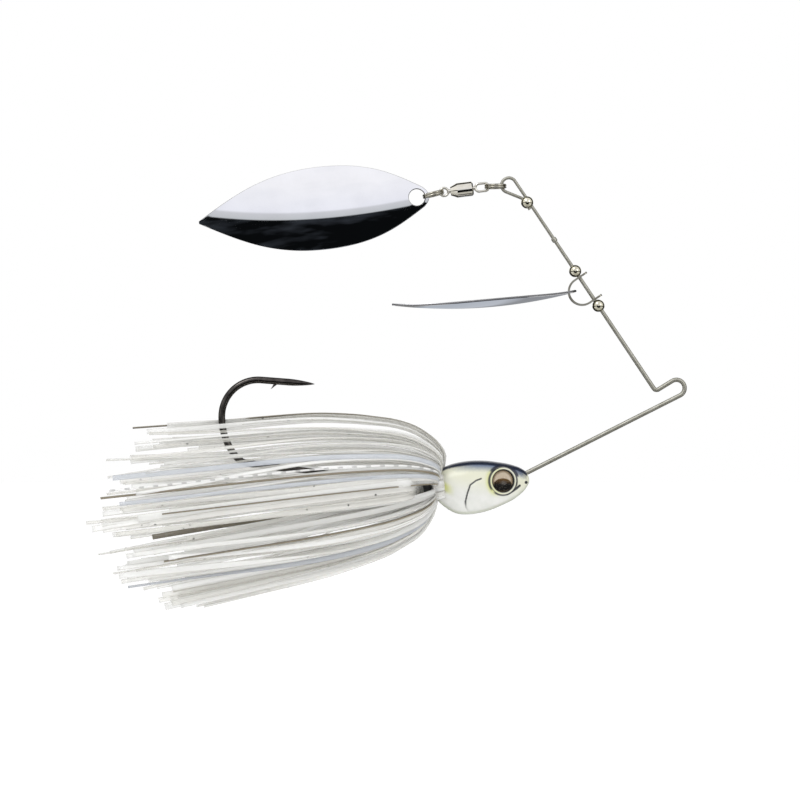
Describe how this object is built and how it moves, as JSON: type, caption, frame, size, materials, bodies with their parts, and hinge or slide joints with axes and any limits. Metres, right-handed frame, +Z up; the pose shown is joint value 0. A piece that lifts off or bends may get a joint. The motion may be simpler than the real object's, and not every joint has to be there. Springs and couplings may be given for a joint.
{
  "type": "spinnerbait",
  "caption": "Fishing lure: a painted fish head on a hook and a bent wire arm, with spinning willow-leaf blades above and a silicone skirt behind.",
  "frame": {"origin": "centre of the line tie's bend in the wire", "axes": "+X forwards, the way the lure is pulled; +Z up, towards the hook's point and the blades; the wire, hook and rear blade lie in the plane Y = 0"},
  "size_m": [0.1303, 0.0394, 0.0994],
  "materials": {
    "stainless_wire": "bright drawn stainless wire",
    "bead_nickel": "polished nickel",
    "clevis_nickel": "polished nickel",
    "blade_nickel": "mirror-polished nickel",
    "ring_steel": "bright spring steel",
    "swivel_nickel": "polished nickel",
    "ball_steel": "ground steel",
    "hook_black_nickel": "black nickel",
    "head_paint": "glossy pearl paint with a dark blue back",
    "eye_foil": "printed foil",
    "eye_lens": "clear resin",
    "band_rubber": "black rubber",
    "silicone_pearl": "translucent pearl silicone",
    "silicone_clear_flake": "clear silicone with black flake",
    "silicone_blue_grey": "translucent blue-grey silicone",
    "silicone_smoke": "smoke silicone"
  },
  "bodies": {
    "frame": {"wire_frame": "stainless_wire", "loop_lock_bead": "bead_nickel", "hook": "hook_black_nickel", "head_casting": "head_paint", "skirt_band": "band_rubber", "eye_foil_left": "eye_foil", "eye_foil_right": "eye_foil", "eye_lens_left": "eye_lens", "eye_lens_right": "eye_lens", "skirt_strands_pearl": "silicone_pearl", "skirt_strands_clear_flake": "silicone_clear_flake", "skirt_strands_blue_grey": "silicone_blue_grey", "skirt_strands_smoke": "silicone_smoke"},
    "lower_bead": {"lower_bearing_bead": "bead_nickel"},
    "upper_bead": {"upper_bearing_bead": "bead_nickel"},
    "clevis": {"clevis": "clevis_nickel"},
    "front_blade": {"front_blade": "blade_nickel"},
    "front_ring": {"front_split_ring": "ring_steel"},
    "swivel_shaft": {"swivel_shaft": "swivel_nickel"},
    "swivel_barrel": {"swivel_barrel": "swivel_nickel", "swivel_balls": "ball_steel", "swivel_rear_eye": "swivel_nickel"},
    "rear_ring": {"rear_split_ring": "ring_steel"},
    "rear_blade": {"rear_blade": "blade_nickel"}
  },
  "joints": [
    {"name": "blade_stack_slide", "type": "slide", "parent": "frame", "child": "lower_bead", "axis": [-0.5563, 0, 0.831], "range_m": [0, 0.00645]},
    {"name": "clevis_spin", "type": "hinge", "parent": "lower_bead", "child": "clevis", "pos_m": [-0.02017, 0, 0.02241], "axis": [-0.5563, 0, 0.831], "continuous": true},
    {"name": "upper_bead_spin", "type": "hinge", "parent": "lower_bead", "child": "upper_bead", "pos_m": [-0.02278, 0, 0.02632], "axis": [-0.5563, 0, 0.831], "continuous": true},
    {"name": "front_blade_swing", "type": "hinge", "parent": "clevis", "child": "front_blade", "pos_m": [-0.02422, 0, 0.02141], "axis": [0, 1, 0], "range_deg": [-40, 18]},
    {"name": "front_ring_pitch", "type": "hinge", "parent": "frame", "child": "front_ring", "pos_m": [-0.03847, 0, 0.04543], "axis": [0, 1, 0], "range_deg": [-20, 45]},
    {"name": "swivel_yaw", "type": "hinge", "parent": "front_ring", "child": "swivel_shaft", "pos_m": [-0.04225, 0, 0.04533], "axis": [-0.1219, 0, 0.9925], "range_deg": [-50, 50]},
    {"name": "swivel_spin", "type": "hinge", "parent": "swivel_shaft", "child": "swivel_barrel", "pos_m": [-0.04829, 0, 0.04459], "axis": [0.9925, 0, 0.1219], "continuous": true},
    {"name": "rear_ring_yaw", "type": "hinge", "parent": "swivel_barrel", "child": "rear_ring", "pos_m": [-0.05319, 0, 0.04398], "axis": [-0.1219, 0, 0.9925], "range_deg": [-50, 50]},
    {"name": "rear_blade_pitch", "type": "hinge", "parent": "rear_ring", "child": "rear_blade", "pos_m": [-0.05686, 0, 0.04307], "axis": [0, -1, 0], "range_deg": [-45, 25]}
  ]
}
